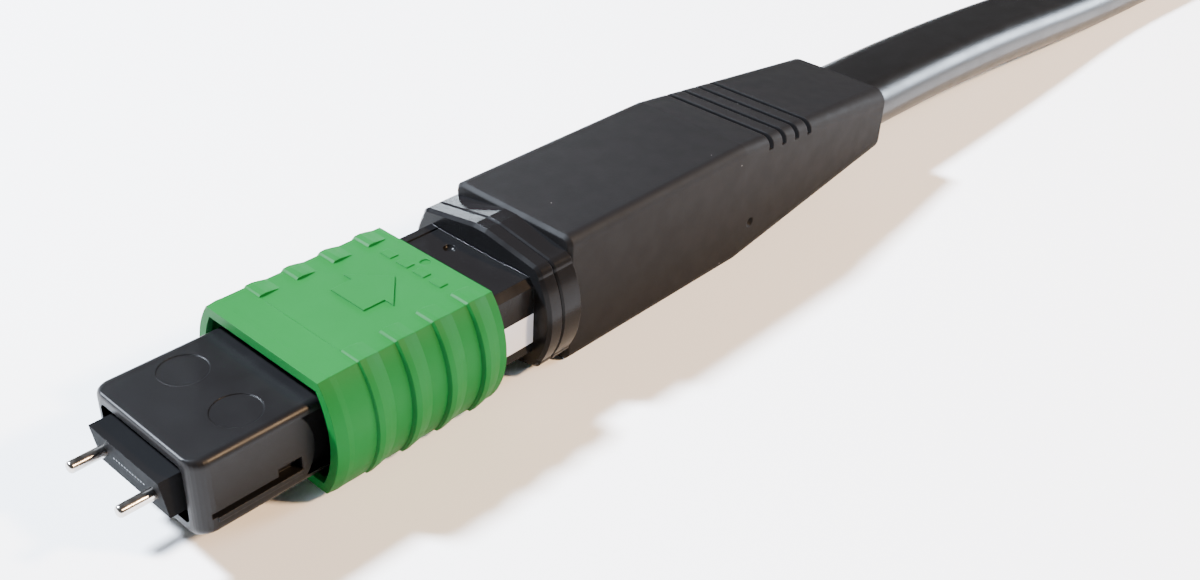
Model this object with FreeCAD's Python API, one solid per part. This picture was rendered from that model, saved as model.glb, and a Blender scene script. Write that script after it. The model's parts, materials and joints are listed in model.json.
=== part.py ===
import FreeCAD, Part
import math
import os

# Multi-fibre push-on plug with guide pins, on a flat cable.
# Frame: +X is forward along the optical axis, +Y is the side with the white mark,
# +Z is up. Sizes are in mm. The shapes are drawn with the centre of the ferrule's polished
# face at the origin and saved with the origin under the plug's middle, on its surface.

V = FreeCAD.Vector

# ---- ferrule, pins and what moves with them ----
ferrule_width = 6.4
ferrule_height = 2.5
ferrule_length = 8.0
face_angle = 8.0            # the polished face leans, its top edge forward
shoulder_step = 0.35        # shoulder wider than the ferrule, each side
shoulder_height = 3.1
shoulder_length = 2.0
pin_spacing = 4.6
pin_radius = 0.349
pin_reach = 2.07            # tip ahead of the face centre
pin_tip_round = 0.2
pin_neck_radius = 0.24
pin_neck_length = 0.5
clamp_length = 1.9
fibre_count = 12
fibre_pitch = 0.25
fibre_radius = 0.0625
ribbon_width = 3.1
ribbon_height = 0.32
bare_fibre_length = 5.0
fibre_window_length = 2.2
ferrule_boot_width = 3.7
ferrule_boot_height = 1.4
ferrule_boot_length = 5.2
ferrule_boot_depth = 2.3    # how far it goes into the ferrule's back

# ---- front housing ----
housing_setback = 0.9       # front rim behind the face centre
housing_height = 4.9
housing_length = 18.5
housing_round = 0.5         # long edges
rim_round = 0.18            # outer edge of the front rim
housing_corner = 1.0        # plan radius of the two front corners
mouth_gap = 0.5             # round the ferrule's sides
mouth_height = 3.7
mouth_depth = 2.5
cavity_gap = 0.3            # beside the ferrule's shoulder
cavity_wall = 0.85          # side wall round the spring cavity
cavity_roof = 0.5           # wall above and below it
side_groove_top = -1.0
side_groove_bottom = -1.34
side_groove_depth = 0.4
side_rail_height = 0.3      # rail along the groove's lower edge
side_rail_reach = 0.09
side_groove_start = 0.75    # behind the rim
side_groove_length = 5.55
pocket_length = 1.5
pocket_top = -0.5
pocket_depth = 0.62
notch_depth = 0.55
notch_end = 9.0             # behind the rim
land_radius = 3.1           # the side land ends in an arc
land_reach = 7.2            # its furthest point behind the rim
ejector_mark_radius = 1.4
ejector_mark_depth = 0.035
ejector_mark_back = 4.2
ejector_mark_spacing = 4.8
key_width = 3.0
key_height = 1.0
key_start = 1.4
key_length = 5.8

# ---- coupling sleeve ----
sleeve_setback = 8.4
sleeve_length = 12.4
sleeve_half_height = 3.76
sleeve_corner_reach = 0.17  # top corners and sides beyond the block's side
sleeve_side_reach = 1.44
sleeve_wall = 0.72
sleeve_travel = 2.5
mouth_length = 4.0          # wide front part of its bore
band_length = 1.08
band_height = 0.12
front_zone_height = 0.09
rib_count = 4
rib_pitch = 2.61
rib_first = 2.57            # first rib behind the front edge
rib_length = 1.5
rib_height = 0.27
rib_top_share = 0.5         # how much of a rib's height its tabs have on top
rib_tab_inner = 3.6         # half width of the plain strip between the tabs
lug_length = 0.95
lug_back = 2.15             # its front face behind the sleeve's front edge
lug_half_height = 0.95
arrow_back = 5.9
arrow_shaft_half_width = 1.45
arrow_shaft_length = 1.52
arrow_head_half_width = 2.2
arrow_head_length = 2.0
arrow_height = 0.08
bar_count = 4
bar_pitch = 1.45
bar_width = 0.95
bar_length = 0.62
bar_back = 10.5
bar_height = 0.06
gate_radius = 0.34
gate_back = 11.75
gate_depth = 0.06

# ---- springs ----
spring_wire = 0.25          # radius of the ferrule spring's wire
spring_turns = 4
return_wire = 0.09
return_turns = 6
return_radius = 0.5         # of its wire's centre line
return_end = 0.8            # ahead of the housing's back end

# ---- rear body, collar and barrel ----
block_step = 0.06           # block wider than the housing, each side
block_height = 5.62
block_chamfer = 0.45
block_length = 5.05
tongue_length = 3.9
bore_width = 4.4
bore_height = 1.8
tab_width = 2.8
tab_length = 1.2
tab_back = 1.35             # from the tongue's tip to the tab
tab_height = 0.42
collar_length = 2.74
flange_length = 1.07
flange_gap = 0.15
flange_gap_depth = 0.3
collar_half_width = 6.15
collar_half_height = 4.42
collar_ridge_half_width = 0.5
collar_corner_y = 4.75
collar_corner_z = 3.7
collar_side_y = 5.3
collar_side_z = 3.05
collar_chamfer = 0.22
panel_depth = 0.07
panel_low_y = -3.7
panel_high_y = 2.4
panel_length = 2.6
dimple_radius = 0.45
dimple_y = -1.45
dimple_back = 1.1           # ahead of the collar
mark_low_z = -1.72
mark_high_z = 0.42
mark_length = 3.8
mark_depth = 0.05
barrel_width = 7.2
barrel_height = 4.2
barrel_length = 12.0
barrel_groove_count = 12
barrel_groove_pitch = 0.75
barrel_groove_depth = 0.12
crimp_wall = 0.4
crimp_length = 9.4
crimp_start = 1.4

# ---- boot ----
boot_width = 10.2
boot_height = 9.2
boot_round = 0.7
boot_body_length = 17.7
boot_tail_length = 19.1
tail_width = 9.4
tail_height = 5.4
tail_round = 1.2
boot_pocket_length = 13.0
boot_mouth_length = 8.0
boot_groove_count = 4
boot_groove_pitch = 1.65
boot_groove_width = 0.5
boot_groove_depth = 0.34
boot_groove_first = 2.8     # behind the bend in the boot's top
boot_groove_drop = 1.0      # how far a groove runs down the side
boot_dimple_radius = 0.4

# ---- cable ----
cable_width = 7.6
cable_height = 4.2
cable_start = -46.0         # jacket's front end, inside the boot
rod_radius = 0.4
rod_wall = 0.2              # between a rod and the barrel's side
rod_grip = 4.0
tube_wall = 0.3
tube_grip = 3.0
turn_pitch = 4.4
fold_radius = 28.0          # outermost fold's centre line
fold_count = 7
hank_run = 50.0             # between the centres of the two rows of folds
tie_thickness = 0.3
tie_width = 8.0

# ---- clearances ----
ferrule_clearance = 0.1
slide_clearance = 0.19      # sleeve round the block, each side
slide_lift = 0.16           # sleeve over the block
tongue_clearance = 0.1
stop_gap = 0.02
lug_clearance = 0.1
fibre_clearance = 0.001
pin_clearance = 0.001
boot_clearance = 0.15
mouth_clearance = 0.1         # cable in the boot's rear end
spring_clearance = 0.15     # round the return springs
coil_clearance = 0.3        # round the ferrule spring

# ---- sizes and places worked out from those above ----
shoulder_width = ferrule_width + 2 * shoulder_step
cavity_width = shoulder_width + 2 * cavity_gap
housing_width = cavity_width + 2 * cavity_wall
block_width = housing_width + 2 * block_step
sleeve_top_half_width = block_width / 2 + sleeve_corner_reach
sleeve_half_width = block_width / 2 + sleeve_side_reach
mouth_width = ferrule_width + 2 * mouth_gap
rod_spacing = barrel_width - 2 * (rod_wall + rod_radius)
shoulder_x = -(ferrule_length - shoulder_length)
clamp_x = -ferrule_length
rim_x = -housing_setback
housing_end_x = rim_x - housing_length
cavity_height = housing_height - 2 * cavity_roof
spring_x = clamp_x - clamp_length - stop_gap
block_x = housing_end_x - stop_gap
tongue_x = block_x + tongue_length
spring_length = spring_x - tongue_x - stop_gap
spring_half_width = cavity_width / 2 - coil_clearance
spring_half_height = cavity_height / 2 - coil_clearance
collar_x = block_x - block_length
boot_x = collar_x - collar_length
tail_x = boot_x - boot_body_length
boot_end_x = tail_x - boot_tail_length
barrel_end_x = boot_x - barrel_length
sleeve_x = -sleeve_setback
sleeve_end_x = sleeve_x - sleeve_length
floor_z = -boot_height / 2
lug_x = sleeve_x - lug_back
return_x = lug_x - lug_length - sleeve_travel - 4 * lug_clearance
return_length = return_x - housing_end_x - return_end

# The uncoiled cable: straight out of the boot, down to the surface it lies on, and along it
# while it turns a quarter on to its edge, where it joins the hank. Each entry is a point and
# the turn of the cable's flat about its own line, in degrees.
lying_z = floor_z + cable_height / 2
on_edge_z = floor_z + tie_thickness + cable_width / 2
route = [
    (V(cable_start, 0, 0), 0),
    (V(-66.0, 0, 0), 0),
    (V(-86.0, 0.1, -0.75), 0),
    (V(-107.0, 0.5, lying_z), 0),
    (V(-124.0, 1.4, lying_z + 0.02), 0),
    (V(-138.0, 2.3, floor_z + 3.55), 45),
    (V(-152.0, 2.6, on_edge_z), 90),
]


# ---------- helpers ----------
def rounded_outline(x, width, height, radius):
    """Closed wire across the axis at x: a rectangle with round corners."""
    w, h = width / 2, height / 2
    r = min(radius, w - 0.001, h - 0.001)
    k = r * (1 - math.sqrt(0.5))
    edges = []
    for sy, sz in ((1, 1), (-1, 1), (-1, -1), (1, -1)):
        side = V(x, sy * w, sz * (h - r))
        middle = V(x, sy * (w - k), sz * (h - k))
        top = V(x, sy * (w - r), sz * h)
        first, last = (side, top) if sy * sz > 0 else (top, side)
        edges.append((first, middle, last))
    shapes = []
    for i, (first, middle, last) in enumerate(edges):
        shapes.append(Part.Arc(first, middle, last).toShape())
        follow = edges[(i + 1) % 4][0]
        if last.distanceToPoint(follow) > 1e-6:
            shapes.append(Part.LineSegment(last, follow).toShape())
    return Part.Wire(shapes)


def bar(x_front, x_back, width, height, radius):
    """Solid along the axis with a rounded rectangular section."""
    face = Part.Face(rounded_outline(x_front, width, height, radius))
    return face.extrude(V(x_back - x_front, 0, 0))


def box(x, y, z):
    """Block between three pairs of limits."""
    corner = V(min(x), min(y), min(z))
    return Part.makeBox(abs(x[1] - x[0]), abs(y[1] - y[0]), abs(z[1] - z[0]), corner)


def chamfered_bar(x_front, x_back, width, height, chamfer):
    """Solid along the axis with an octagonal section, its long edges broken."""
    w, h, c = width / 2, height / 2, chamfer
    corners = [(w, h - c), (w - c, h), (c - w, h), (-w, h - c),
               (-w, c - h), (c - w, -h), (w - c, -h), (w, c - h)]
    points = [V(x_front, y, z) for y, z in corners]
    face = Part.Face(Part.makePolygon(points + points[:1]))
    return face.extrude(V(x_back - x_front, 0, 0))


def rod(x_front, x_back, y, z, radius):
    return Part.makeCylinder(radius, x_front - x_back, V(x_back, y, z), V(1, 0, 0))


def barrel_outline(x, grow):
    """The sleeve's outline at x: flat top and bottom, sides bulging as arcs."""
    top = sleeve_half_height + grow * (rib_top_share if grow > 0 else 1)
    corner = sleeve_top_half_width + 0.35 * grow
    side = sleeve_half_width + grow
    a, b = V(x, -corner, top), V(x, corner, top)
    c, d = V(x, corner, -top), V(x, -corner, -top)
    return Part.Wire([
        Part.LineSegment(a, b).toShape(),
        Part.Arc(b, V(x, side, 0), c).toShape(),
        Part.LineSegment(c, d).toShape(),
        Part.Arc(d, V(x, -side, 0), a).toShape(),
    ])


def barrel_loft(stations):
    """Solid through barrel outlines, each given as (x, growth)."""
    return Part.makeLoft([barrel_outline(x, grow) for x, grow in stations], True, True)


def both_sides(shape):
    """The shape with its mirror image across the middle plane."""
    return [shape, shape.mirror(V(0, 0, 0), V(0, 1, 0))]


def save(name, shape):
    middle = (pin_reach + boot_end_x) / 2
    shape.translated(V(-middle, 0, -floor_z)).exportStep("parts/" + name + ".step")


# ---------- ferrule and what it carries ----------
def pin_shape(y, extra):
    """Guide pin with a rounded tip and a neck near its back end, grown by extra."""
    r = pin_radius + extra
    neck = pin_neck_radius + extra
    neck_x = clamp_x - 0.45 * clamp_length
    back_x = clamp_x - clamp_length + 0.25
    tip = pin_reach - pin_tip_round
    k = pin_tip_round * (1 - math.sqrt(0.5))
    start, end = V(tip, r, 0), V(pin_reach, r - pin_tip_round, 0)
    middle = V(pin_reach - k, r - k, 0)
    steps = [V(neck_x, r, 0), V(neck_x - 0.1, neck, 0),
             V(neck_x - pin_neck_length, neck, 0), V(neck_x - pin_neck_length - 0.1, r, 0),
             V(back_x, r, 0), V(back_x, 0, 0), V(pin_reach, 0, 0), end]
    edges = [Part.Arc(start, middle, end).toShape(), Part.LineSegment(start, steps[0]).toShape()]
    edges += [Part.LineSegment(a, b).toShape() for a, b in zip(steps, steps[1:])]
    half = Part.Face(Part.Wire(Part.sortEdges(edges)[0]))
    return half.revolve(V(0, 0, 0), V(1, 0, 0), 360).translated(V(0, y, 0))


def fibre_rows():
    first = -(fibre_count - 1) * fibre_pitch / 2
    return [first + i * fibre_pitch for i in range(fibre_count)]


def mt_ferrule():
    w, h = ferrule_width / 2, ferrule_height / 2
    lean = h * math.tan(math.radians(face_angle))
    profile = [V(shoulder_x, -w, -h), V(-lean, -w, -h), V(lean, -w, h), V(shoulder_x, -w, h)]
    body = Part.Face(Part.makePolygon(profile + profile[:1])).extrude(V(0, ferrule_width, 0))
    body = body.fuse(bar(shoulder_x, clamp_x, shoulder_width, shoulder_height, 0.25))
    window_x = -bare_fibre_length + fibre_window_length
    cuts = [
        box((window_x, -bare_fibre_length), (-ribbon_width / 2, ribbon_width / 2), (0.12, h + 1)),
        bar(-bare_fibre_length, clamp_x, ribbon_width + 0.1, ribbon_height + 0.1, 0.1),
        bar(clamp_x + ferrule_boot_depth, clamp_x, ferrule_boot_width, ferrule_boot_height, 0.3),
    ]
    for y in fibre_rows():
        cuts.append(rod(1, -bare_fibre_length, y, 0, fibre_radius + fibre_clearance))
    for side in (-1, 1):
        cuts.append(rod(1, clamp_x, side * pin_spacing / 2, 0, pin_radius + pin_clearance))
    return body.cut(cuts)


def pin_clamp():
    x_back = clamp_x - clamp_length
    plate = bar(clamp_x, x_back, shoulder_width, shoulder_height, 0.4)
    slot = bar(clamp_x, x_back, ferrule_boot_width + 0.2, ferrule_boot_height + 0.2, 0.3)
    waist = [box((clamp_x - 0.5, x_back + 0.4), (-1.3, 1.3), (z, z + 0.5 * side))
             for z, side in ((shoulder_height / 2 - 0.25, 1), (0.25 - shoulder_height / 2, -1))]
    holes = [pin_shape(side * pin_spacing / 2, pin_clearance) for side in (-1, 1)]
    return plate.cut([slot] + waist + holes)


def ribbon_end_x():
    return cable_start + 1.5


def fibre_ribbon():
    ribbon = bar(-bare_fibre_length, ribbon_end_x(), ribbon_width, ribbon_height, 0.15)
    return ribbon.fuse([rod(0, -bare_fibre_length - 0.2, y, 0, fibre_radius)
                        for y in fibre_rows()])


def ferrule_boot():
    x_front = clamp_x + ferrule_boot_depth
    sleeve = bar(x_front, x_front - ferrule_boot_length, ferrule_boot_width,
                 ferrule_boot_height, 0.3)
    return sleeve.cut(bar(x_front, x_front - ferrule_boot_length, ribbon_width,
                          ribbon_height, 0.15))


# ---------- springs ----------
def coil_wire(x_front, length, turns, half_y, half_z, wire, dead=0.75):
    """Closed-and-ground look: the end turns lie flat, the rest climb evenly."""
    per_turn = 16
    total = turns + 2 * dead
    points = []
    for i in range(int(total * per_turn) + 1):
        t = i / per_turn
        climb = min(max(t - dead, 0), turns) / turns
        angle = 2 * math.pi * t
        x = x_front - wire - climb * (length - 2 * wire)
        round_y = abs(math.cos(angle)) ** 0.7 * math.copysign(1, math.cos(angle))
        points.append(V(x, half_y * round_y, half_z * math.sin(angle)))
    return points


def spring_solid(points, wire, sides=8):
    """Wire of constant section along the points, as straight facets."""
    outlines = []
    for i, point in enumerate(points):
        before = points[max(i - 1, 0)]
        after = points[min(i + 1, len(points) - 1)]
        along = (after - before).normalize()
        out = V(0, point.y, point.z).normalize()
        out = (out - along * out.dot(along)).normalize()
        across = along.cross(out)
        ring = [point + out * (wire * math.cos(2 * math.pi * k / sides))
                + across * (wire * math.sin(2 * math.pi * k / sides)) for k in range(sides)]
        outlines.append(Part.makePolygon(ring + ring[:1]))
    return Part.makeLoft(outlines, True, True)


def ferrule_spring():
    points = coil_wire(spring_x, spring_length, spring_turns, spring_half_width - spring_wire,
                       spring_half_height - spring_wire, spring_wire)
    return spring_solid(points, spring_wire)


def return_spring(side):
    points = []
    per_turn = 12
    for i in range(return_turns * per_turn + 1):
        angle = 2 * math.pi * i / per_turn
        x = return_x - return_wire - stop_gap
        x -= i / (return_turns * per_turn) * (return_length - 2 * return_wire - 2 * stop_gap)
        points.append(V(x, return_radius * math.cos(angle), return_radius * math.sin(angle)))
    solid = spring_solid(points, return_wire, 6)
    return solid.translated(V(0, side * return_y(), 0))


def return_y():
    """Centre of a return spring, half in the housing and half in the sleeve."""
    return housing_width / 2 + 0.05


# ---------- front housing ----------
def front_housing():
    half_w, half_h = housing_width / 2, housing_height / 2
    body = bar(rim_x - housing_corner, housing_end_x, housing_width, housing_height,
               housing_round)
    body = body.fuse(housing_nose())
    key_x = rim_x - key_start
    key = box((key_x, key_x - key_length), (-key_width / 2, key_width / 2),
              (-half_h - key_height, 0))
    lead = [e for e in key.Edges if abs(e.CenterOfMass.x - key_x) < 0.01
            and abs(e.CenterOfMass.z + half_h + key_height) < 0.01]
    key = key.makeChamfer(0.3, lead)
    body = body.fuse([key] + both_sides(side_rail()))
    seat_x = shoulder_x + stop_gap
    cuts = [
        bar(rim_x, rim_x - mouth_depth, mouth_width, mouth_height, 0.4),
        bar(rim_x, seat_x, ferrule_width + 2 * ferrule_clearance,
            ferrule_height + 2 * ferrule_clearance, 0.1),
        bar(seat_x, housing_end_x, cavity_width, cavity_height, 0.4),
    ]
    window_x = tongue_x - tab_back + tongue_clearance
    for sign in (-1, 1):
        cuts.append(box((window_x, window_x - tab_length - 2 * tongue_clearance),
                        (-tab_width / 2 - tongue_clearance, tab_width / 2 + tongue_clearance),
                        (0, sign * (half_h + 1))))
        cuts.append(Part.makeCylinder(ejector_mark_radius, 1,
                                      V(rim_x - ejector_mark_back,
                                        sign * ejector_mark_spacing / 2,
                                        half_h - ejector_mark_depth)))
    for cut in housing_side_cuts():
        cuts += both_sides(cut)
    return body.cut(cuts)


def quarter_round(radius, depth):
    """How far a rounded edge still lies inside its full reach at this depth."""
    left = max(radius - depth, 0)
    return radius - math.sqrt(radius * radius - left * left)


def housing_nose():
    """Front of the housing, its two corners round in plan and its rim softened."""
    outlines = []
    for share in (0, 0.03, 0.08, 0.16, 0.3, 0.5, 0.75, 1):
        depth = share * housing_corner
        width = housing_width - 2 * quarter_round(housing_corner, depth)
        height = housing_height - 2 * quarter_round(rim_round, depth)
        outlines.append(rounded_outline(rim_x - depth, width, height, housing_round))
    return Part.makeLoft(outlines, True, True)


def side_rail():
    """Thin rail under the groove of the +Y side."""
    start_x = rim_x - side_groove_start - 0.3
    side = housing_width / 2
    return box((start_x, start_x - side_groove_length + 0.3), (side - 0.2, side + side_rail_reach),
               (side_groove_bottom - side_rail_height, side_groove_bottom))


def housing_side_cuts():
    """Groove with its pocket, latch notch, lug slot and spring seat of the +Y side."""
    side = housing_width / 2
    outside = side + 1
    start_x = rim_x - side_groove_start
    end_x = start_x - side_groove_length
    groove_z = (side_groove_bottom, side_groove_top)
    pocket_z = (side_groove_bottom, pocket_top)
    flat = housing_height / 2 - housing_round
    notch = box((rim_x - 5.0, rim_x - notch_end), (side - notch_depth, outside), (-flat, flat))
    land = Part.makeCylinder(land_radius, 4, V(rim_x - land_reach + land_radius, side - 2, 0),
                             V(0, 1, 0))
    lug_end = lug_x - lug_length - sleeve_travel - lug_clearance
    lug_z = lug_half_height + lug_clearance
    seat_r = return_radius + return_wire + spring_clearance
    seat_end = return_x - return_length
    return [
        box((start_x, end_x), (side - side_groove_depth, outside), groove_z),
        box((end_x + pocket_length, end_x), (side - pocket_depth, outside), pocket_z),
        notch.cut(land),
        box((lug_x + stop_gap, lug_end), (side - notch_depth, outside), (-lug_z, lug_z)),
        box((return_x, seat_end), (return_y() - seat_r, outside), (-seat_r, seat_r)),
    ]


# ---------- coupling sleeve ----------
def sleeve_relief():
    """Raised arrow pointing back and four plain bars behind it."""
    base = sleeve_half_height - 0.1
    x0 = sleeve_x - arrow_back
    x1 = x0 - arrow_shaft_length
    s, w = arrow_shaft_half_width, arrow_head_half_width
    points = [V(x0, -s, base), V(x0, s, base), V(x1, s, base), V(x1, w, base),
              V(x1 - arrow_head_length, 0, base), V(x1, -w, base), V(x1, -s, base)]
    arrow = Part.Face(Part.makePolygon(points + points[:1])).extrude(V(0, 0, 0.1 + arrow_height))
    relief = [arrow]
    bar_x = sleeve_x - bar_back
    for i in range(bar_count):
        y = (i - (bar_count - 1) / 2) * bar_pitch
        relief.append(box((bar_x, bar_x - bar_length), (y - bar_width / 2, y + bar_width / 2),
                          (base, sleeve_half_height + bar_height)))
    return relief


def sleeve_ribs():
    """Sawtooth ribs that wrap each side: steep in front, running out to the back."""
    ribs = []
    strip = box((sleeve_x, sleeve_end_x), (-rib_tab_inner, rib_tab_inner),
                (-sleeve_half_height - 2, sleeve_half_height + 2))
    for i in range(rib_count):
        x = sleeve_x - rib_first - i * rib_pitch
        rib = barrel_loft([(x, 0.04), (x - 0.12, 0.9 * rib_height), (x - 0.5, rib_height),
                           (x - 0.95, 0.6 * rib_height), (x - rib_length, -0.01)])
        ribs.append(rib.cut(strip))
    return ribs


def coupling_sleeve():
    crest_x = sleeve_x - 0.65 * band_length
    band_x = sleeve_x - band_length
    zone_x = sleeve_x - rib_first
    shell = barrel_loft([(sleeve_x, 0.0), (crest_x, band_height), (band_x, front_zone_height),
                         (zone_x, front_zone_height), (zone_x - 0.05, 0), (sleeve_end_x, 0)])
    shell = shell.fuse(sleeve_ribs() + sleeve_relief())
    mouth_x = sleeve_x - mouth_length
    mouth = barrel_loft([(sleeve_x + 0.1, 0.15 - sleeve_wall), (sleeve_x - 0.3, -sleeve_wall),
                         (mouth_x, -sleeve_wall)])
    guide = bar(mouth_x, sleeve_end_x, block_width + 2 * slide_clearance,
                block_height + 2 * slide_lift, 0.2)
    seat_r = return_radius + return_wire + spring_clearance
    cuts = [mouth, guide]
    for side in (-1, 1):
        cuts.append(box((return_x, sleeve_end_x), (0, side * (return_y() + seat_r)),
                        (-seat_r, seat_r)))
    cuts.append(Part.makeCylinder(gate_radius, 1, V(sleeve_x - gate_back, 0,
                                                    sleeve_half_height - gate_depth)))
    lug_inner = housing_width / 2 - notch_depth + lug_clearance
    lug = box((lug_x, lug_x - lug_length), (lug_inner, sleeve_half_width - 0.4),
              (-lug_half_height, lug_half_height))
    return shell.cut(cuts).fuse(both_sides(lug))


# ---------- rear body ----------
def collar_outline(x, shrink):
    """Outline of the collar: shallow roofs above and below, bulging sides, round corners."""
    top, side = collar_half_height - shrink, collar_half_width - shrink
    cy, cz = collar_corner_y - shrink * 0.6, collar_corner_z - shrink * 0.8
    sy, sz = collar_side_y - shrink * 0.8, collar_side_z - shrink * 0.6
    ky, kz = (cy + sy) / 2 + 0.09, (cz + sz) / 2 + 0.09
    ridge = collar_ridge_half_width
    roof = [V(x, -cy, cz), V(x, -ridge, top), V(x, ridge, top), V(x, cy, cz)]
    floor = [V(x, p.y, -p.z) for p in reversed(roof)]
    edges = [Part.LineSegment(roof[0], roof[1]).toShape(),
             Part.LineSegment(roof[1], roof[2]).toShape(),
             Part.LineSegment(roof[2], roof[3]).toShape(),
             Part.Arc(V(x, cy, cz), V(x, ky, kz), V(x, sy, sz)).toShape(),
             Part.Arc(V(x, sy, sz), V(x, side, 0), V(x, sy, -sz)).toShape(),
             Part.Arc(V(x, sy, -sz), V(x, ky, -kz), V(x, cy, -cz)).toShape(),
             Part.LineSegment(floor[0], floor[1]).toShape(),
             Part.LineSegment(floor[1], floor[2]).toShape(),
             Part.LineSegment(floor[2], floor[3]).toShape(),
             Part.Arc(V(x, -cy, -cz), V(x, -ky, -kz), V(x, -sy, -sz)).toShape(),
             Part.Arc(V(x, -sy, -sz), V(x, -side, 0), V(x, -sy, sz)).toShape(),
             Part.Arc(V(x, -sy, sz), V(x, -ky, kz), V(x, -cy, cz)).toShape()]
    return Part.Wire(edges)


def collar():
    first_end = collar_x - flange_length
    second = first_end - flange_gap
    c = collar_chamfer
    flange = Part.makeLoft([collar_outline(collar_x, c), collar_outline(collar_x - c, 0),
                            collar_outline(first_end, 0)], True, True)
    neck = Part.Face(collar_outline(first_end, flange_gap_depth)).extrude(V(-flange_gap, 0, 0))
    rear = Part.makeLoft([collar_outline(second, 0.12), collar_outline(second - 0.12, 0),
                          collar_outline(boot_x, 0)], True, True)
    return [flange, neck, rear]


def snap_tab(sign):
    """Wedge on the tongue that snaps into the housing's window."""
    x = tongue_x - tab_back
    low = cavity_height / 2 - tongue_clearance - 0.2
    high = low + 0.2 + tab_height
    points = [V(x, 0, sign * low), V(x - 0.2, 0, sign * (high - 0.28)),
              V(x - tab_length + 0.15, 0, sign * high), V(x - tab_length, 0, sign * high),
              V(x - tab_length, 0, sign * low)]
    face = Part.Face(Part.makePolygon(points + points[:1]))
    return face.extrude(V(0, tab_width, 0)).translated(V(0, -tab_width / 2, 0))


def rear_body():
    half_w, half_h = block_width / 2, block_height / 2
    tongue = bar(tongue_x, block_x - 0.5, cavity_width - 2 * tongue_clearance,
                 cavity_height - 2 * tongue_clearance, 0.35)
    block = chamfered_bar(block_x, collar_x - 0.5, block_width, block_height, block_chamfer)
    barrel = bar(boot_x + 0.5, barrel_end_x, barrel_width, barrel_height, barrel_height / 2)
    body = block.fuse([tongue, barrel, snap_tab(1), snap_tab(-1)] + collar())
    cuts = [bar(tongue_x, barrel_end_x, bore_width, bore_height, bore_height / 2 - 0.01)]
    for side in (-1, 1):
        cuts.append(rod(barrel_end_x + rod_grip, barrel_end_x, side * rod_spacing / 2, 0,
                        rod_radius))
    groove_x = boot_x - crimp_start - 0.5
    for i in range(barrel_groove_count):
        x = groove_x - i * barrel_groove_pitch
        ring = bar(x, x - 0.3, barrel_width + 1, barrel_height + 1, barrel_height / 2)
        core = bar(x, x - 0.3, barrel_width - 2 * barrel_groove_depth,
                   barrel_height - 2 * barrel_groove_depth, barrel_height / 2)
        cuts.append(ring.cut(core))
    cuts.append(box((collar_x, collar_x + panel_length), (panel_low_y, panel_high_y),
                    (half_h - panel_depth, half_h + 1)))
    cuts.append(Part.makeSphere(dimple_radius, V(collar_x + dimple_back, dimple_y,
                                                 half_h + 0.12)))
    cuts.append(box((collar_x, collar_x + mark_length), (half_w - mark_depth, half_w + 1),
                    (mark_low_z, mark_high_z)))
    return body.cut(cuts)


def first_fibre_mark():
    side = block_width / 2
    return box((collar_x, collar_x + mark_length), (side - mark_depth, side),
               (mark_low_z, mark_high_z))


def crimp_ring():
    x = boot_x - crimp_start
    outer = bar(x, x - crimp_length, barrel_width + 2 * crimp_wall,
                barrel_height + 2 * crimp_wall, barrel_height / 2 + crimp_wall)
    inner = bar(x, x - crimp_length, barrel_width, barrel_height, barrel_height / 2)
    return outer.cut(inner)


# ---------- boot ----------
def boot_section(x, inset):
    """Outline of the boot at x behind the bend, moved in by inset."""
    t = (tail_x - x) / boot_tail_length
    width = boot_width + t * (tail_width - boot_width) - 2 * inset
    height = boot_height + t * (tail_height - boot_height) - 2 * inset
    radius = boot_round + t * (tail_round - boot_round)
    return rounded_outline(x, width, height, radius)


def boot_grooves():
    """Flex grooves over the sloping top, running a little down the sides."""
    cuts = []
    for i in range(boot_groove_count):
        x = tail_x - boot_groove_first - i * boot_groove_pitch
        back = x - boot_groove_width
        core = Part.makeLoft([boot_section(x, boot_groove_depth),
                              boot_section(back, boot_groove_depth)], True, True)
        reach = boot_height / 2 - (tail_x - x) / boot_tail_length * (boot_height - tail_height) / 2
        slab = box((x, back), (-boot_width, boot_width), (reach - boot_groove_drop, boot_height))
        cuts.append(slab.cut(core))
    return cuts


def strain_boot():
    body = bar(boot_x, tail_x, boot_width, boot_height, boot_round)
    front = [e for e in body.Edges if abs(e.BoundBox.XMin - boot_x) < 1e-6
             and abs(e.BoundBox.XMax - boot_x) < 1e-6]
    body = body.makeChamfer(0.25, front)
    tail = Part.makeLoft([boot_section(tail_x, 0), boot_section(boot_end_x, 0)], True, True)
    pocket = bar(boot_x, boot_x - boot_pocket_length, barrel_width + 2 * crimp_wall
                 + 2 * boot_clearance, barrel_height + 2 * crimp_wall + 2 * boot_clearance,
                 barrel_height / 2 + crimp_wall)
    passage = bar(boot_x, boot_end_x, cable_width, cable_height, cable_height / 2)
    mouth = bar(boot_end_x + boot_mouth_length, boot_end_x, cable_width + 2 * mouth_clearance,
                cable_height + 2 * mouth_clearance, cable_height / 2 + mouth_clearance)
    dimple = Part.makeSphere(boot_dimple_radius,
                             V(tail_x - 1.4, boot_width / 2 + 0.12, -1.9))
    return body.fuse(tail).cut([pocket, passage, mouth, dimple] + boot_grooves())


# ---------- cable ----------
def route_stations():
    """The route as straight runs joined by tangent arcs, cut into stations."""
    points = [p for p, turn in route]
    stations = [points[0]]
    for before, here, after in zip(points, points[1:], points[2:]):
        first, last = (here - before), (after - here)
        trim = 0.45 * min(first.Length, last.Length)
        start = here - V(first).normalize() * trim
        end = here + V(last).normalize() * trim
        bend = first.getAngle(last)
        radius = trim / math.tan(bend / 2)
        print("cable bend radius", round(radius, 1))
        middle_out = ((start + end) * 0.5 - here)
        centre = here + V(middle_out).normalize() * (radius / math.cos(bend / 2))
        inward = V(middle_out).normalize()
        stations += [start, centre - inward * radius, end]
    return stations + [points[-1]]


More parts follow.
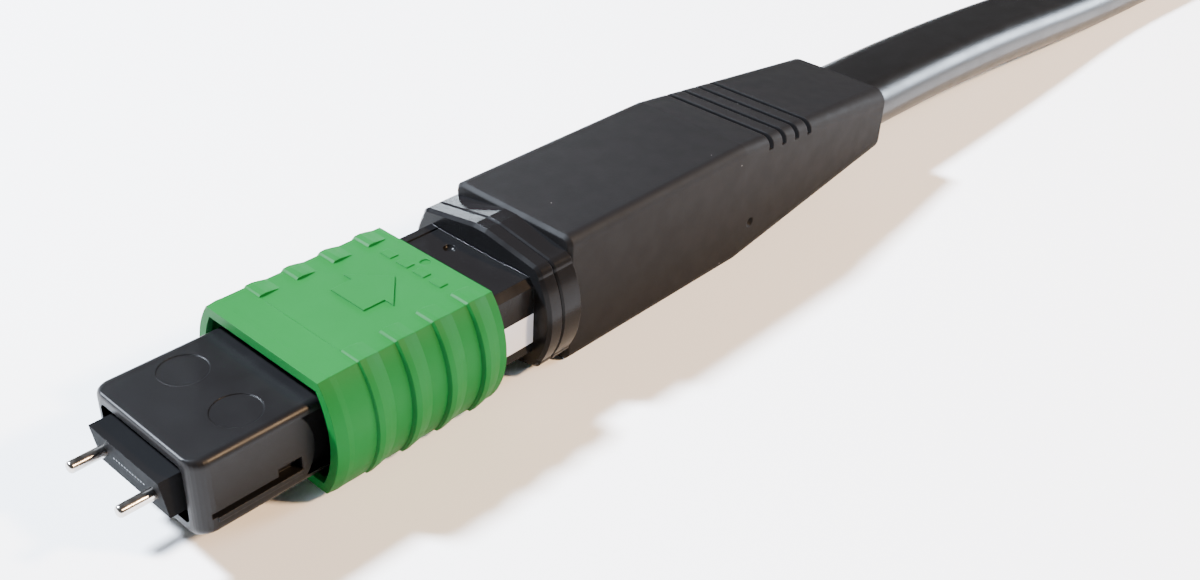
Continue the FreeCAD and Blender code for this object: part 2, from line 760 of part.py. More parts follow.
def turn_at(x):
    """Turn of the cable's flat at a place along the route, in degrees."""
    for (before, turn_a), (after, turn_b) in zip(route, route[1:]):
        if after.x <= x <= before.x:
            share = (before.x - x) / (before.x - after.x)
            return turn_a + (turn_b - turn_a) * share
    return route[-1][1]


def cable_section(point, heading, turn):
    """Flat oval outline of the cable, square to its heading and turned about it."""
    r = cable_height / 2
    w = cable_width / 2 - r
    side = V(0, 0, 1).cross(heading).normalize()
    up = heading.cross(side)
    c, s = math.cos(math.radians(turn)), math.sin(math.radians(turn))
    flat, thick = side * c + up * s, up * c - side * s
    a, b = point + flat * w + thick * r, point - flat * w + thick * r
    c1, d = point - flat * w - thick * r, point + flat * w - thick * r
    return Part.Wire([
        Part.LineSegment(a, b).toShape(),
        Part.Arc(b, point - flat * (w + r), c1).toShape(),
        Part.LineSegment(c1, d).toShape(),
        Part.Arc(d, point + flat * (w + r), a).toShape()])


def flat_cable():
    stations = route_stations()
    outlines = []
    length = 0
    for i, point in enumerate(stations):
        before = stations[max(i - 1, 0)]
        after = stations[min(i + 1, len(stations) - 1)]
        heading = (after - before).normalize()
        if i == 0 or i == len(stations) - 1:
            heading = V(-1, 0, 0)
        outlines.append(cable_section(point, heading, turn_at(point.x)))
        length += (point - before).Length
    cable = Part.makeLoft(outlines, True, True)
    r = cable_height / 2
    section = math.pi * r * r + (cable_width - cable_height) * cable_height
    print("cable volume", round(cable.Volume, 1), "section x length", round(section * length, 1))
    return cable


def hank_outline(x_front, x_back, near_y, far_y, front_near_y):
    """Closed outline with a fold at each end; its front fold may start further in."""
    z = floor_z + tie_thickness
    back_r, back_y = (near_y - far_y) / 2, (near_y + far_y) / 2
    front_r, front_y = (front_near_y - far_y) / 2, (front_near_y + far_y) / 2
    a, b = V(x_front, near_y, z), V(x_back, near_y, z)
    c, d = V(x_back, far_y, z), V(x_front, far_y, z)
    e = V(x_front, front_near_y, z)
    edges = [Part.LineSegment(a, b).toShape(),
             Part.Arc(b, V(x_back - back_r, back_y, z), c).toShape(),
             Part.LineSegment(c, d).toShape(),
             Part.Arc(d, V(x_front + front_r, front_y, z), e).toShape()]
    if e.distanceToPoint(a) > 1e-6:
        edges.append(Part.LineSegment(e, a).toShape())
    return Part.Face(Part.Wire(edges))


def leg_limits():
    """Limits across the near and the far leg of the hank."""
    half = cable_height / 2
    near = route[-1][0].y
    far = near - 2 * fold_radius
    near_passes = (fold_count - 1) // 2
    far_passes = fold_count // 2
    return ((near + half, near - near_passes * turn_pitch - half),
            (far - half, far + far_passes * turn_pitch + half))


def cable_hank():
    """Closed outer shape of the hank, whose passes stand on edge one pitch apart."""
    x_front = route[-1][0].x
    x_back = x_front - hank_run
    (near_out, near_in), (far_out, far_in) = leg_limits()
    outer = hank_outline(x_front, x_back, near_out, far_out, near_out - turn_pitch)
    inner = hank_outline(x_front, x_back, near_in, far_in, near_in)
    return outer.cut(inner).extrude(V(0, 0, cable_width))


def hank_tie(leg):
    """Band closed round one leg of the hank, halfway along it."""
    high, low = max(leg) + 0.1, min(leg) - 0.1
    x = route[-1][0].x - hank_run / 2 + tie_width / 2
    t = tie_thickness
    outer = bar(x, x - tie_width, high - low + 2 * t, cable_width + 2 * t, t)
    inner = box((x, x - tie_width), (-(high - low) / 2, (high - low) / 2),
                (-cable_width / 2, cable_width / 2))
    return outer.cut(inner).translated(V(0, (high + low) / 2, on_edge_z))


def strength_rod(side):
    return rod(barrel_end_x + rod_grip, cable_start, side * rod_spacing / 2, 0, rod_radius)


def buffer_tube():
    x = barrel_end_x + tube_grip
    width, height = bore_width - 0.1, bore_height - 0.1
    outer = bar(x, cable_start, width, height, height / 2)
    inner = bar(x, cable_start, width - 2 * tube_wall, height - 2 * tube_wall,
                height / 2 - tube_wall)
    return outer.cut(inner)


def main():
    os.makedirs("parts", exist_ok=True)
    save("mt_ferrule", mt_ferrule())
    save("pin_clamp", pin_clamp())
    save("fibre_ribbon", fibre_ribbon())
    save("ferrule_boot", ferrule_boot())
    save("ferrule_spring", ferrule_spring())
    save("front_housing", front_housing())
    save("coupling_sleeve", coupling_sleeve())
    save("rear_body", rear_body())
    save("first_fibre_mark", first_fibre_mark())
    save("crimp_ring", crimp_ring())
    save("buffer_tube", buffer_tube())
    save("strain_boot", strain_boot())
    save("flat_cable", flat_cable())
    save("cable_hank", cable_hank())
    for name, side in (("left", 1), ("right", -1)):
        save("guide_pin_" + name, pin_shape(side * pin_spacing / 2, 0))
        save("sleeve_spring_" + name, return_spring(side))
        save("strength_rod_" + name, strength_rod(side))
    for name, leg in zip(("near", "far"), leg_limits()):
        save("hank_tie_" + name, hank_tie(leg))


main()
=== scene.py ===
"""Looks of a multi-fibre push-on plug with guide pins, on a tied length of flat cable."""
import json
import math
from collections import namedtuple

import bmesh
import bpy
from mathutils import Matrix, Vector


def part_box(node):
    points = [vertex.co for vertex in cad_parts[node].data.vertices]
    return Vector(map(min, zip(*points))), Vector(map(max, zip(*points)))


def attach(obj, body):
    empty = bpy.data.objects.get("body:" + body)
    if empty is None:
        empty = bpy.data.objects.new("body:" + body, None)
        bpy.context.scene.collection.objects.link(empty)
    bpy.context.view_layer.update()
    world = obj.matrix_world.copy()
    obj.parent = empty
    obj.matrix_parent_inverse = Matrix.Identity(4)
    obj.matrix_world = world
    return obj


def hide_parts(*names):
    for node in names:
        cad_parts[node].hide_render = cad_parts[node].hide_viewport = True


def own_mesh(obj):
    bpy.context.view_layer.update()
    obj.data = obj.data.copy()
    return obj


MM = 0.001

# The plug's own frame is in millimetres, with its origin at the centre of the ferrule's
# polished face. The scene's origin is under the plug's middle, on the surface it lies on.
PIN_REACH = 2.07
BOOT_END_X = -64.01
SURFACE_Z = -4.6
MIDDLE_X = (PIN_REACH + BOOT_END_X) / 2

# Surface detail, in mm
CLOUD_SIZE = 6.0
SHEEN_PATCH_SIZE = 1.6
MOULD_GRAIN_SIZE = 0.11
DUST_SPACING = 2.6
DUST_SIZE = 0.055
TINT_PATCH_SIZE = 1.5
POLISH_PATCH_SIZE = 0.5
METAL_GRAIN_SIZE = 0.12
COATING_GRAIN_SIZE = 0.2
COATING_GRAIN_DEPTH = 0.001
PILE_SIZE = 0.12
PILE_DEPTH = 0.12
WEAVE_PITCH = 2.2
WEAVE_DEPTH = 0.08
PAPER_CLOUD_SIZE = 60.0

DUST_COLOUR = (0.16, 0.15, 0.145)
TIE_DARK = (0.004, 0.004, 0.004)
TIE_LIGHT = (0.012, 0.012, 0.012)
PAPER_DARK = (0.90, 0.90, 0.90)
PAPER_LIGHT = (0.92, 0.92, 0.92)

# Plastics: dark and light colour, roughness, depth of grain and edge radius in mm, gloss,
# and the colour of its dust if it has any
PLASTICS = {
    "sleeve_green": ((0.0025, 0.082, 0.0135), (0.0033, 0.090, 0.0160),
                     0.5, 0.0022, 0.05, 0.07),
    "housing_black": ((0.0034, 0.0033, 0.0036), (0.0044, 0.0042, 0.0046),
                      0.38, 0.0025, 0.08, 0.14),
    "body_black": ((0.0052, 0.0050, 0.0053), (0.0064, 0.0062, 0.0065),
                   0.2, 0.0008, 0.04, 0.07),
    "boot_rubber": ((0.0040, 0.0036, 0.0037), (0.0049, 0.0044, 0.0044),
                    0.6, 0.005, 0.16, 0.10, DUST_COLOUR),
    "cable_jacket": ((0.0022, 0.0020, 0.0020), (0.0028, 0.0025, 0.0025),
                     0.34, 0.003, 0.05, 0.4),
    "ferrule_resin": ((0.0034, 0.0034, 0.0038), (0.0048, 0.0048, 0.0052),
                      0.62, 0.002, 0.05, 0.03),
    "boot_rubber_small": ((0.005, 0.005, 0.005), (0.008, 0.008, 0.008),
                          0.6, 0.003, 0.05, 0.25),
    "mark_white": ((0.50, 0.50, 0.54), (0.55, 0.55, 0.59),
                   0.5, 0.002, 0.02, 0.25),
    "tube_white": ((0.62, 0.62, 0.59), (0.68, 0.68, 0.65),
                   0.4, 0.002, 0.05, 0.25),
    "rod_glass": ((0.50, 0.44, 0.22), (0.60, 0.54, 0.32),
                  0.45, 0.004, 0.05, 0.25),
    "fibre_glass": ((0.05, 0.055, 0.06), (0.07, 0.075, 0.08),
                    0.12, 0.0001, 0.01, 0.3),
}

# Metals: colour, roughness, depth of grain and edge radius in mm
METALS = {
    "pin_steel": ((0.58, 0.55, 0.52), 0.17, 0.0004, 0.02),
    "clamp_steel": ((0.5, 0.5, 0.49), 0.34, 0.001, 0.05),
    "spring_steel": ((0.5, 0.5, 0.5), 0.26, 0.001, 0.05),
    "crimp_steel": ((0.55, 0.55, 0.56), 0.3, 0.001, 0.05),
}

# Fibres
FIBRE_COUNT = 12
FIBRE_PITCH = 0.25
FIBRE_RADIUS = 0.0625
FIBRE_END_DEPTH = 0.1
FIBRE_PROUD = 0.004
FIBRE_SIDES = 20
FIBRE_COLOURS = (
    (0.02, 0.10, 0.55), (0.80, 0.22, 0.02), (0.03, 0.32, 0.06), (0.16, 0.06, 0.03),
    (0.24, 0.25, 0.27), (0.75, 0.75, 0.73), (0.60, 0.02, 0.03), (0.01, 0.01, 0.01),
    (0.80, 0.60, 0.03), (0.24, 0.05, 0.32), (0.80, 0.28, 0.38), (0.05, 0.52, 0.58),
)

# Springs: a squareness below 1 fills out the turns towards their sides
Spring = namedtuple("Spring", "wire turns flat_turns squareness joint travel")
RETURN_SPRING = Spring(wire=0.09, turns=6, flat_turns=0.5, squareness=1.0,
                       joint="sleeve_slide", travel=2.4)
FERRULE_SPRING = Spring(wire=0.25, turns=4, flat_turns=0.75, squareness=0.7,
                        joint="ferrule_float", travel=0.9)
POINTS_PER_TURN = 40
WIRE_SIDES = 12

# Flat cable: it lies flat behind the boot, turns on edge and goes round in a tied hank
CABLE_WIDTH = 7.6
CABLE_THICKNESS = 4.2
CORNER_SHARE = 0.499
CORNER_POINTS = 8
TURN_PITCH = 4.4
FOLD_RADIUS = 28.0
FOLD_COUNT = 7
HANK_RUN = 50.0
LAST_RUN = 40.0
POINTS_PER_FOLD = 8
TIE_THICKNESS = 0.3
LYING_Z = SURFACE_Z + CABLE_THICKNESS / 2
ON_EDGE_Z = SURFACE_Z + TIE_THICKNESS + CABLE_WIDTH / 2
CABLE_ROUTE = (
    (-46.0, 0.0, 0.0),
    (-66.0, 0.0, 0.0),
    (-86.0, 0.1, -0.75),
    (-107.0, 0.5, LYING_Z),
    (-124.0, 1.4, LYING_Z + 0.02),
    (-138.0, 2.3, SURFACE_Z + 3.55),
    (-152.0, 2.6, ON_EDGE_Z),
)
CURVE_ORDER = 3
CURVE_STEPS = 10
TWIST_FROM_X = -124.0
TWIST_TO_X = -152.0
SHARP_ANGLE = 50

# Pieces bared at the trimmed end: finish, heights in the jacket, radius, height over width,
# and reach out of the jacket
CABLE_END = {
    "cable_end_rods": ("rod_glass", (-2.6, 2.6), 0.45, 1.0, 0.5),
    "cable_end_tube": ("tube_white", (0.0,), 0.85, 1.9, 0.7),
    "cable_end_ribbon": ("fibre_coating", (0.0,), 0.2, 7.6, 1.0),
}
CABLE_END_ROOT = 1.0
CABLE_END_SIDES = 28

# Floor and lights, in metres and watts: place, aim, size, power and colour
FLOOR_REACH = 2.5
ROOM_BRIGHTNESS = 0.12
LIGHTS = {
    "cool_softbox": ((0.20, -0.36, 0.44), (0, 0, 0), 0.07, 30.0, (0.78, 0.87, 1.0)),
    "warm_softbox": ((-0.22, 0.42, 0.38), (0, 0, 0), 0.06, 9.5, (1.0, 0.66, 0.38)),
    "low_window": ((-0.90, 0.42, 0.30), (-0.08, 0, 0), 0.30, 16.0, (0.75, 0.86, 1.0)),
    "far_window": ((-0.60, -0.76, 0.16), (0, 0, 0), 0.10, 2.4, (0.80, 0.90, 1.0)),
}

# Camera: its place is in the plug's own frame, its clipping distances are in metres
CAMERA_PLACE = (23.24, 50.44, 45.68)
CAMERA_RIGHT = (-0.671836, 0.739351, 0.044680)
CAMERA_UP = (-0.381277, -0.396915, 0.834917)
CAMERA_SENSOR = 36.0
CAMERA_LENS = 39.70
CAMERA_SHIFT = (0.0038, -0.0009)
CAMERA_NEAR = 0.005
CAMERA_FAR = 10.0


def placed(x, y, z):
    """A point of the plug's own frame, in mm, as a place in the scene, in metres."""
    return Vector(((x - MIDDLE_X) * MM, y * MM, (z - SURFACE_Z) * MM))


def new_object(name, data):
    """An object in the scene that carries the data."""
    made = bpy.data.objects.new(name, data)
    bpy.context.scene.collection.objects.link(made)
    return made


def add_piece(name, mesh, finish):
    """A bmesh as a piece with its finish."""
    data = bpy.data.meshes.new(name)
    mesh.to_mesh(data)
    mesh.free()
    data.materials.append(finish)
    return new_object(name, data)


# ---------- materials ----------
class Finish:
    """A material's nodes, with short ways to add and join them."""

    SOCKETS = {"colour": "Base Color", "roughness": "Roughness", "normal": "Normal",
               "metal": "Metallic", "sheen": "Sheen Weight", "specular": "Specular IOR Level"}

    def __init__(self, name):
        self.material = bpy.data.materials.new(name)
        self.material.use_nodes = True
        self.tree = self.material.node_tree
        self.shader = self.tree.nodes["Principled BSDF"]
        self.coordinates = self.add("ShaderNodeTexCoord").outputs["Object"]

    def add(self, kind, **settings):
        node = self.tree.nodes.new(kind)
        for key, value in settings.items():
            setattr(node, key, value)
        return node

    def link(self, source, target):
        self.tree.links.new(source, target)

    def noise(self, size, detail=3.0, roughness=0.5):
        """Cloudy value from 0 to 1 whose features are about size millimetres across."""
        node = self.add("ShaderNodeTexNoise")
        node.inputs["Scale"].default_value = 1.0 / (size * MM)
        node.inputs["Detail"].default_value = detail
        node.inputs["Roughness"].default_value = roughness
        self.link(self.coordinates, node.inputs["Vector"])
        return node.outputs["Fac"]

    def between(self, value, low, high, start=0.35, end=0.65):
        """The value, spread so that start to end becomes low to high."""
        node = self.add("ShaderNodeMapRange")
        node.inputs["From Min"].default_value = start
        node.inputs["From Max"].default_value = end
        node.inputs["To Min"].default_value = low
        node.inputs["To Max"].default_value = high
        self.link(value, node.inputs["Value"])
        return node.outputs["Result"]

    def blend(self, value, first, second):
        """Colour that goes from first to second as value goes from 0 to 1."""
        node = self.add("ShaderNodeMix", data_type="RGBA")
        self.link(value, node.inputs["Factor"])
        for slot, colour in (("A", first), ("B", second)):
            socket = [s for s in node.inputs if s.name == slot and s.type == "RGBA"][0]
            if isinstance(colour, tuple):
                socket.default_value = (*colour, 1.0)
            else:
                self.link(colour, socket)
        return [s for s in node.outputs if s.type == "RGBA"][0]

    def bump(self, height, depth, under=None):
        """Relief of the given depth in millimetres."""
        node = self.add("ShaderNodeBump")
        node.inputs["Strength"].default_value = 1.0
        node.inputs["Distance"].default_value = depth * MM
        self.link(height, node.inputs["Height"])
        if under:
            self.link(under, node.inputs["Normal"])
        return node.outputs["Normal"]

    def specks(self, spacing, size):
        """Value that is 1 on sparse small specks, about spacing millimetres apart."""
        node = self.add("ShaderNodeTexVoronoi", feature="F1")
        node.inputs["Scale"].default_value = 1.0 / (spacing * MM)
        self.link(self.coordinates, node.inputs["Vector"])
        return self.between(node.outputs["Distance"], 1.0, 0.0, 0.6 * size / spacing,
                            size / spacing)

    def soft_edges(self, radius):
        """Normal that rounds sharp edges to a radius in millimetres."""
        node = self.add("ShaderNodeBevel", samples=4)
        node.inputs["Radius"].default_value = radius * MM
        return node.outputs["Normal"]

    def set(self, **values):
        """Put a constant, a colour or a node's output on each named socket of the shader."""
        for key, value in values.items():
            socket = self.shader.inputs[self.SOCKETS[key]]
            if isinstance(value, bpy.types.NodeSocket):
                self.link(value, socket)
            elif isinstance(value, tuple):
                socket.default_value = (*value, 1.0)
            else:
                socket.default_value = value
        return self.material


def moulded_plastic(name, dark, light, rough, grain, edge, gloss, dust=None):
    """Injection-moulded plastic: fine spark grain, faint flow clouding, soft edges."""
    finish = Finish(name)
    cloud = finish.noise(CLOUD_SIZE)
    colour = finish.blend(finish.between(cloud, 0.0, 1.0, 0.2, 0.8), dark, light)
    if dust:
        colour = finish.blend(finish.specks(DUST_SPACING, DUST_SIZE), colour, dust)
    patches = finish.noise(SHEEN_PATCH_SIZE, 2.0)
    roughness = finish.between(patches, rough - 0.02, rough + 0.03)
    relief = finish.noise(MOULD_GRAIN_SIZE, 2.0)
    normal = finish.bump(relief, grain, finish.soft_edges(edge))
    return finish.set(colour=colour, roughness=roughness, normal=normal, specular=gloss)


def metal(name, colour, rough, grain, edge):
    """Drawn or stamped metal: patchy polish over a fine grain, soft edges."""
    finish = Finish(name)
    relief = finish.noise(METAL_GRAIN_SIZE)
    roughness = finish.between(finish.noise(POLISH_PATCH_SIZE), rough - 0.04, rough + 0.07)
    darker = tuple(0.8 * c for c in colour)
    tint = finish.blend(finish.between(finish.noise(TINT_PATCH_SIZE), 0.0, 1.0), darker, colour)
    normal = finish.bump(relief, grain, finish.soft_edges(edge))
    return finish.set(colour=tint, roughness=roughness, normal=normal, metal=1.0)


def fibre_coating(name):
    """Twelve coloured fibres side by side under a clear matrix."""
    finish = Finish(name)
    parts = finish.add("ShaderNodeSeparateXYZ")
    finish.link(finish.coordinates, parts.inputs["Vector"])
    side = FIBRE_COUNT * FIBRE_PITCH / 2 * MM
    share = finish.between(parts.outputs["Y"], 0.0, 1.0, -side, side)
    ramp = finish.add("ShaderNodeValToRGB")
    ramp.color_ramp.interpolation = "CONSTANT"
    stops = ramp.color_ramp.elements
    for i, colour in enumerate(FIBRE_COLOURS):
        stop = stops[i] if i < 2 else stops.new(i / FIBRE_COUNT)
        stop.position = i / FIBRE_COUNT
        stop.color = (*colour, 1.0)
    finish.link(share, ramp.inputs["Fac"])
    normal = finish.bump(finish.noise(COATING_GRAIN_SIZE, 2.0), COATING_GRAIN_DEPTH)
    return finish.set(colour=ramp.outputs["Color"], roughness=0.3, normal=normal)


def woven_tape(name):
    """Hook-and-loop tape: a soft pile over a coarse weave."""
    finish = Finish(name)
    pile = finish.noise(PILE_SIZE, 4.0, 0.7)
    weave = finish.add("ShaderNodeTexWave", bands_direction="DIAGONAL")
    weave.inputs["Scale"].default_value = 1.0 / (WEAVE_PITCH * MM)
    weave.inputs["Distortion"].default_value = 2.0
    finish.link(finish.coordinates, weave.inputs["Vector"])
    colour = finish.blend(finish.between(pile, 0.0, 1.0), TIE_DARK, TIE_LIGHT)
    relief = finish.bump(pile, PILE_DEPTH, finish.bump(weave.outputs["Fac"], WEAVE_DEPTH))
    return finish.set(colour=colour, roughness=0.9, normal=relief, sheen=0.3, specular=0.2)


def studio_paper(name):
    """Matt white paper, clouded so faintly that it reads as plain."""
    finish = Finish(name)
    shade = finish.between(finish.noise(PAPER_CLOUD_SIZE, 2.0), 0.0, 1.0)
    colour = finish.blend(shade, PAPER_DARK, PAPER_LIGHT)
    return finish.set(colour=colour, roughness=0.9, specular=0.2)


def make_finishes():
    finishes = {name: moulded_plastic(name, *values) for name, values in PLASTICS.items()}
    finishes.update({name: metal(name, *values) for name, values in METALS.items()})
    finishes["fibre_coating"] = fibre_coating("fibre_coating")
    finishes["tie_black"] = woven_tape("tie_black")
    return finishes


def dress_nodes(frame, finishes):
    """Each node of the frame gets the finish that its record names."""
    slots = {p["node"]: p["material_slot"] for p in frame["record"]["subparts"]}
    for node, obj in frame["nodes"].items():
        obj.data.materials.clear()
        obj.data.materials.append(finishes[slots[node]])


# ---------- repeating and path-following pieces ----------
class Recipe:
    """A Geometry Nodes tree with named sizes, applied once to make a plain mesh."""

    def __init__(self, name, **sizes):
        self.name = name
        self.sizes = sizes
        self.tree = bpy.data.node_groups.new(name, "GeometryNodeTree")
        sockets = self.tree.interface
        sockets.new_socket("Shape", in_out="INPUT", socket_type="NodeSocketGeometry")
        sockets.new_socket("Shape", in_out="OUTPUT", socket_type="NodeSocketGeometry")
        self.keys = {}
        for size, value in sizes.items():
            kind = "NodeSocketInt" if isinstance(value, int) else "NodeSocketFloat"
            socket = sockets.new_socket(size, in_out="INPUT", socket_type=kind)
            self.keys[size] = socket.identifier
        self.start = self.tree.nodes.new("NodeGroupInput")
        self.end = self.tree.nodes.new("NodeGroupOutput")

    def add(self, kind, inputs=None, **settings):
        """A node whose inputs are constants, other nodes' outputs, or sizes by name."""
        node = self.tree.nodes.new(kind)
        for key, value in settings.items():
            setattr(node, key, value)
        for key, value in (inputs or {}).items():
            if isinstance(value, bpy.types.NodeSocket):
                self.tree.links.new(value, node.inputs[key])
            elif isinstance(value, str):
                self.tree.links.new(self.start.outputs[value], node.inputs[key])
            else:
                node.inputs[key].default_value = value
        return node

    def along_y(self, size):
        """Vector along Y that is as long as the named size."""
        return self.add("ShaderNodeCombineXYZ", {"Y": size}).outputs["Vector"]

    def sweep(self, outline, finish):
        """The outline drawn along the carrier's curve, smooth and closed at both ends."""
        swept = self.add("GeometryNodeCurveToMesh",
                         {"Curve": "Shape", "Profile Curve": outline, "Fill Caps": True})
        smooth = self.add("GeometryNodeSetShadeSmooth", {"Geometry": swept.outputs["Mesh"]})
        self.close(smooth.outputs["Geometry"], finish)

    def close(self, shape, finish):
        """End the tree with the shape as real mesh in its finish."""
        realised = self.add("GeometryNodeRealizeInstances", {"Geometry": shape})
        coloured = self.add("GeometryNodeSetMaterial",
                            {"Geometry": realised.outputs["Geometry"], "Material": finish})
        self.tree.links.new(coloured.outputs["Geometry"], self.end.inputs["Shape"])

    def make(self, carrier, finish):
        """The tree's result on the carrier, as a plain mesh object at the origin."""
        modifier = carrier.modifiers.new(self.name, "NODES")
        modifier.node_group = self.tree
        for size, value in self.sizes.items():
            modifier[self.keys[size]] = value
        graph = bpy.context.evaluated_depsgraph_get()
        mesh = bpy.data.meshes.new_from_object(carrier.evaluated_get(graph))
        bpy.data.objects.remove(carrier)
        mesh.name = self.name
        mesh.materials.clear()
        mesh.materials.append(finish)
        return new_object(self.name, mesh)


def make_fibre_ends(finish):
    """Polished ends of the twelve fibres, a hair proud of the ferrule's face."""
    recipe = Recipe("fibre_ends", Count=FIBRE_COUNT, Pitch=FIBRE_PITCH * MM,
                    Radius=FIBRE_RADIUS * MM, Depth=FIBRE_END_DEPTH * MM)
    first = placed(FIBRE_PROUD - FIBRE_END_DEPTH / 2, -(FIBRE_COUNT - 1) * FIBRE_PITCH / 2, 0)
    row = recipe.add("GeometryNodeMeshLine", {"Count": "Count", "Start Location": tuple(first),
                                              "Offset": recipe.along_y("Pitch")})
    end = recipe.add("GeometryNodeMeshCylinder", {"Vertices": FIBRE_SIDES, "Radius": "Radius",
                                                  "Depth": "Depth"})
    placing = recipe.add("GeometryNodeInstanceOnPoints",
                         {"Points": row.outputs["Mesh"], "Instance": end.outputs["Mesh"],
                          "Rotation": (0.0, math.pi / 2, 0.0)})
    recipe.close(placing.outputs["Instances"], finish)
    carrier = new_object("fibre_ends_carrier", bpy.data.meshes.new("fibre_ends_carrier"))
    ends = recipe.make(carrier, finish)
    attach(ends, "ferrule")


# ---------- springs ----------
def coil_line(low, high, wire, turns, flat_turns, squareness):
    """Centre line of a coil that fills the box, with turns lying flat at both ends."""
    middle = (low + high) / 2
    half_y, half_z = (high.y - low.y) / 2 - wire, (high.z - low.z) / 2 - wire
    climb = high.x - low.x - 2 * wire
    count = round((turns + 2 * flat_turns) * POINTS_PER_TURN)
    curve = bpy.data.curves.new("coil_line", "CURVE")
    curve.dimensions = "3D"
    spline = curve.splines.new("POLY")
    spline.points.add(count)
    for i, point in enumerate(spline.points):
        turn = i / POINTS_PER_TURN
        share = min(max(turn - flat_turns, 0.0), turns) / turns
        across = math.cos(math.tau * turn)
        across = math.copysign(abs(across) ** squareness, across)
        point.co = (high.x - wire - share * climb, middle.y + half_y * across,
                    middle.z + half_z * math.sin(math.tau * turn), 1.0)
    return new_object("coil_line", curve)


def make_spring(node, finish, shape):
    """Round wire that fills the part's box, held at its back end."""
    wire, turns, flat_turns, squareness, joint, travel = shape
    low, high = (Vector(corner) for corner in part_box(node))
    carrier = coil_line(low, high, wire * MM, turns, flat_turns, squareness)
    recipe = Recipe(node + "_wire", Wire=wire * MM, Sides=WIRE_SIDES)
    outline = recipe.add("GeometryNodeCurvePrimitiveCircle",
                         {"Resolution": "Sides", "Radius": "Wire"})
    recipe.sweep(outline.outputs["Curve"], finish)
    spring = recipe.make(carrier, finish)
    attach(spring, "plug")
    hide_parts(node)
    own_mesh(spring)


# ---------- cable ----------
def cable_points():
    """Control points of the whole cable: the route, then each run and fold of the hank."""
    points = [placed(*p) for p in CABLE_ROUTE]
    front_x, near_y = CABLE_ROUTE[-1][:2]
    back_x = front_x - HANK_RUN
    y = near_y
    step = math.pi / POINTS_PER_FOLD
    for fold in range(FOLD_COUNT):
        radius = FOLD_RADIUS - fold * TURN_PITCH / 2
        rear = fold % 2 == 0
        middle_x, out = (back_x, -1) if rear else (front_x, 1)
        middle_y = y - radius if rear else y + radius
        points.append(placed(middle_x, y, ON_EDGE_Z))
        wide = radius / math.cos(step / 2)
        for k in range(POINTS_PER_FOLD):
            angle = (k + 0.5) * step
            rise = wide * math.cos(angle)
            points.append(placed(middle_x + out * wide * math.sin(angle),
                                 middle_y + (rise if rear else -rise), ON_EDGE_Z))
        y = middle_y - radius if rear else middle_y + radius
        points.append(placed(middle_x, y, ON_EDGE_Z))
    points.append(placed(back_x + LAST_RUN, y, ON_EDGE_Z))
    return points


def cable_curve(points):
    """Smooth curve steered by the control points, turned on edge along the twist."""
    curve = bpy.data.curves.new("cable_line", "CURVE")
    curve.dimensions = "3D"
    curve.twist_mode = "Z_UP"
    spline = curve.splines.new("NURBS")
    spline.points.add(len(points) - 1)
    start, end = placed(TWIST_FROM_X, 0, 0).x, placed(TWIST_TO_X, 0, 0).x
    for i, (point, place) in enumerate(zip(spline.points, points)):
        share = (start - place.x) / (start - end) if i < len(CABLE_ROUTE) else 1.0
        point.co = (*place, 1.0)
        point.tilt = math.pi / 2 * min(max(share, 0.0), 1.0)
    spline.order_u = CURVE_ORDER
    spline.use_endpoint_u = True
    curve.resolution_u = CURVE_STEPS
    return new_object("cable_line", curve)


def points_along(carrier):
    """The points that the carrier's curve passes through, in order."""
    graph = bpy.context.evaluated_depsgraph_get()
    mesh = bpy.data.meshes.new_from_object(carrier.evaluated_get(graph))
    line = [v.co.copy() for v in mesh.vertices]
    bpy.data.meshes.remove(mesh)
    return line


def make_cable_end(finishes):
    """The trimmed end: the stiff rods, the fibre tube and the ribbon stand just out of it."""
    x = CABLE_ROUTE[-1][0] - HANK_RUN + LAST_RUN
    y = CABLE_ROUTE[-1][1] - 2 * FOLD_RADIUS + FOLD_COUNT // 2 * TURN_PITCH
    turned = Matrix.Rotation(math.pi / 2, 4, "Y")
    pieces = []
    for name, (finish, rises, radius, tall, out) in CABLE_END.items():
        mesh = bmesh.new()
        sized = Matrix.Diagonal((1.0, 1.0, tall, 1.0))
        for rise in rises:
            middle = placed(x + (out - CABLE_END_ROOT) / 2, y, ON_EDGE_Z + rise)
            bmesh.ops.create_cone(mesh, segments=CABLE_END_SIDES, radius1=radius * MM,
                                  radius2=radius * MM, depth=(out + CABLE_END_ROOT) * MM,
                                  cap_ends=True,
                                  matrix=Matrix.Translation(middle) @ sized @ turned)
        piece = add_piece(name, mesh, finishes[finish])
        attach(piece, "plug")
        pieces.append(piece)
    return pieces


def make_cable(finishes):
    """The whole jacket as one sweep, from inside the boot to the trimmed end."""
    carrier = cable_curve(cable_points())
    line = points_along(carrier)
    recipe = Recipe("flat_cable_jacket", Width=CABLE_WIDTH * MM, Thickness=CABLE_THICKNESS * MM,
                    Round=CORNER_SHARE * CABLE_THICKNESS * MM)
    outline = recipe.add("GeometryNodeCurvePrimitiveQuadrilateral",
                         {"Width": "Width", "Height": "Thickness"})
    rounded = recipe.add("GeometryNodeFilletCurve",
                         {"Curve": outline.outputs["Curve"], "Radius": "Round",
                          "Count": CORNER_POINTS}, mode="POLY")
    recipe.sweep(rounded.outputs["Curve"], finishes["cable_jacket"])
    cable = recipe.make(carrier, finishes["cable_jacket"])
    cable.data.set_sharp_from_angle(angle=math.radians(SHARP_ANGLE))
    ends = make_cable_end(finishes)
    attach(cable, "plug")
    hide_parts("flat_cable", "cable_hank")


# ---------- stage ----------
def make_floor():
    mesh = bmesh.new()
    bmesh.ops.create_grid(mesh, x_segments=1, y_segments=1, size=FLOOR_REACH)
    floor = add_piece("studio_floor", mesh, studio_paper("studio_paper"))


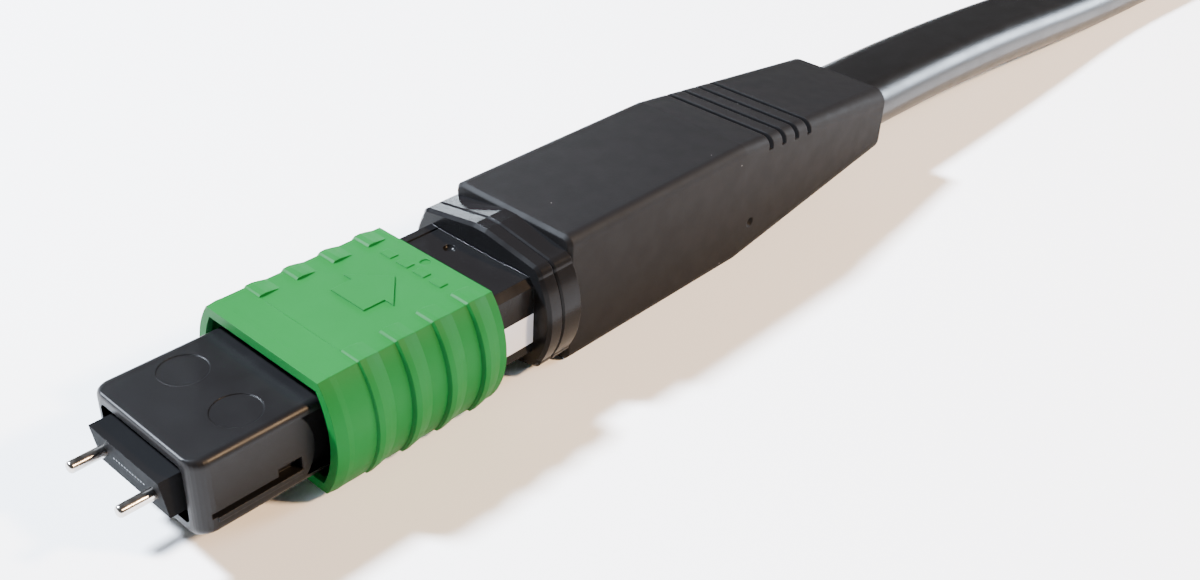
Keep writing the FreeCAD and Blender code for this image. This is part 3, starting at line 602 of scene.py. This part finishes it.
def add_light(name, place, aim, size, power, colour):
    """A square soft light that points at its aim."""
    data = bpy.data.lights.new(name, "AREA")
    data.size = size
    data.energy = power
    data.color = colour
    light = new_object(name, data)
    light.location = place
    light.rotation_euler = (Vector(aim) - Vector(place)).to_track_quat("-Z", "Y").to_euler()


def make_light():
    world = bpy.data.worlds.new("studio")
    world.use_nodes = True
    background = world.node_tree.nodes["Background"]
    background.inputs["Color"].default_value = (1.0, 1.0, 1.0, 1.0)
    background.inputs["Strength"].default_value = ROOM_BRIGHTNESS
    bpy.context.scene.world = world
    for name, values in LIGHTS.items():
        add_light(name, *values)


def make_camera():
    data = bpy.data.cameras.new("camera")
    data.sensor_width = CAMERA_SENSOR
    data.lens = CAMERA_LENS
    data.shift_x, data.shift_y = CAMERA_SHIFT
    data.clip_start = CAMERA_NEAR
    data.clip_end = CAMERA_FAR
    camera = new_object("camera", data)
    right, up = Vector(CAMERA_RIGHT), Vector(CAMERA_UP)
    turned = Matrix((right, up, right.cross(up))).transposed().to_4x4()
    camera.matrix_world = Matrix.Translation(placed(*CAMERA_PLACE)) @ turned
    bpy.context.scene.camera = camera


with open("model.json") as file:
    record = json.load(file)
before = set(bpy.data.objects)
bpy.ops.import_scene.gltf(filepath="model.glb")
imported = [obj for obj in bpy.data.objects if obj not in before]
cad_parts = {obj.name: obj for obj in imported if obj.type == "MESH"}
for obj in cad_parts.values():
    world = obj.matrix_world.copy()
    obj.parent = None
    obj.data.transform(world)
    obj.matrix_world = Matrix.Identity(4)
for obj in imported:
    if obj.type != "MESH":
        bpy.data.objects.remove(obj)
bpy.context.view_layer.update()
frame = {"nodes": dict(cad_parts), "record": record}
finishes = make_finishes()
dress_nodes(frame, finishes)
make_fibre_ends(finishes["fibre_glass"])
make_spring("ferrule_spring", finishes["spring_steel"], FERRULE_SPRING)
make_spring("sleeve_spring_left", finishes["spring_steel"], RETURN_SPRING)
make_spring("sleeve_spring_right", finishes["spring_steel"], RETURN_SPRING)
make_cable(finishes)
make_floor()
make_light()
make_camera()
